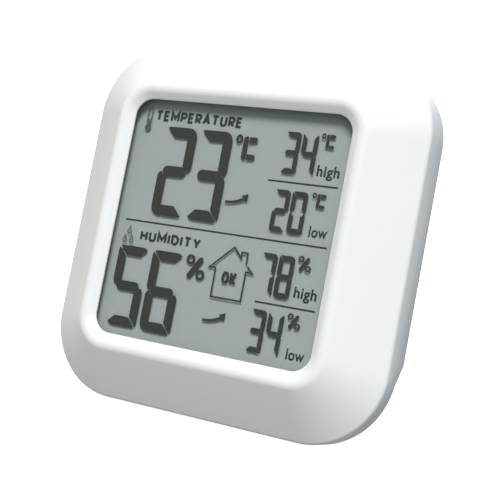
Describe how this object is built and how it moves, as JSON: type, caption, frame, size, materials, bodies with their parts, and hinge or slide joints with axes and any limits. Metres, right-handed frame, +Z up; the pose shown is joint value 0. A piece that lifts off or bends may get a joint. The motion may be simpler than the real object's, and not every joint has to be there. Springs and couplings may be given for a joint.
{
  "type": "digital thermo-hygrometer",
  "caption": "Square white table hygrometer with a segment display under a raised lip, leaning back on a fold-out rear stand, with a covered battery bay and push keys behind.",
  "frame": {"origin": "on the surface that the instrument stands on, under the middle of its box", "axes": "+Z up, +X to the right as one reads the display, +Y away from the reader; the face looks along -Y and leans back 22.7 degrees"},
  "size_m": [0.077, 0.0424, 0.0722],
  "materials": {
    "white_abs": "fine satin moulding",
    "light_grey_abs": "satin moulding",
    "black_plastic": "satin moulding",
    "black_foam": "closed-cell foam",
    "polarizer_film": "anti-glare film",
    "display_glass": "clear float glass",
    "display_reflector": "grey-green diffuse reflector",
    "contact_rubber": "silicone with conductive layers",
    "circuit_board": "green solder mask",
    "black_epoxy": "cast epoxy",
    "zinc_plated_steel": "bright zinc",
    "nickel_plated_steel": "bright nickel",
    "capacitor_sleeve": "shrunk sleeve",
    "ceramic": "fired ceramic",
    "sensor_housing": "satin moulding",
    "cell_jacket": "plain printed jacket, no marks",
    "red_insulation": "smooth PVC",
    "black_insulation": "smooth PVC"
  },
  "bodies": {
    "case": {"front_shell": "white_abs", "rear_shell": "white_abs", "display_gasket": "black_foam", "front_polarizer": "polarizer_film", "front_glass": "display_glass", "rear_glass": "display_glass", "reflector": "display_reflector", "display_holder": "light_grey_abs", "upper_contact_strip": "contact_rubber", "lower_contact_strip": "contact_rubber", "main_board": "circuit_board", "controller_chip": "black_epoxy", "clock_crystal": "zinc_plated_steel", "supply_capacitor": "capacitor_sleeve", "timing_capacitor": "ceramic", "humidity_sensor": "sensor_housing", "temperature_sensor": "black_epoxy", "unit_switch_body": "black_plastic", "clear_switch_body": "black_plastic", "battery_cell": "cell_jacket", "positive_contact": "nickel_plated_steel", "negative_spring": "nickel_plated_steel", "positive_lead": "red_insulation", "negative_lead": "black_insulation", "board_screw_1": "zinc_plated_steel", "board_screw_2": "zinc_plated_steel", "board_screw_3": "zinc_plated_steel", "board_screw_4": "zinc_plated_steel", "case_screw_1": "zinc_plated_steel", "case_screw_2": "zinc_plated_steel", "case_screw_3": "zinc_plated_steel", "case_screw_4": "zinc_plated_steel"},
    "cover": {"battery_cover": "white_abs"},
    "stand": {"kickstand": "white_abs"},
    "unit_key": {"unit_button": "light_grey_abs", "unit_switch_plunger": "black_plastic"},
    "clear_key": {"clear_button": "light_grey_abs", "clear_switch_plunger": "black_plastic"}
  },
  "joints": [
    {"name": "stand_fold", "type": "hinge", "parent": "case", "child": "stand", "pos_m": [0, 0.00952, 0.03458], "axis": [1, 0, 0], "range_deg": [-38.8, 0]},
    {"name": "cover_lift_off", "type": "slide", "parent": "case", "child": "cover", "axis": [0, 0.9223, -0.3864], "range_m": [0, 0.02]},
    {"name": "unit_key_press", "type": "slide", "parent": "case", "child": "unit_key", "axis": [0, -0.9223, 0.3864], "range_m": [0, 0.0003], "stiffness_N_per_m": 500, "springref_m": -0.0005},
    {"name": "clear_key_press", "type": "slide", "parent": "case", "child": "clear_key", "axis": [0, -0.9223, 0.3864], "range_m": [0, 0.0003], "stiffness_N_per_m": 500, "springref_m": -0.0005}
  ]
}
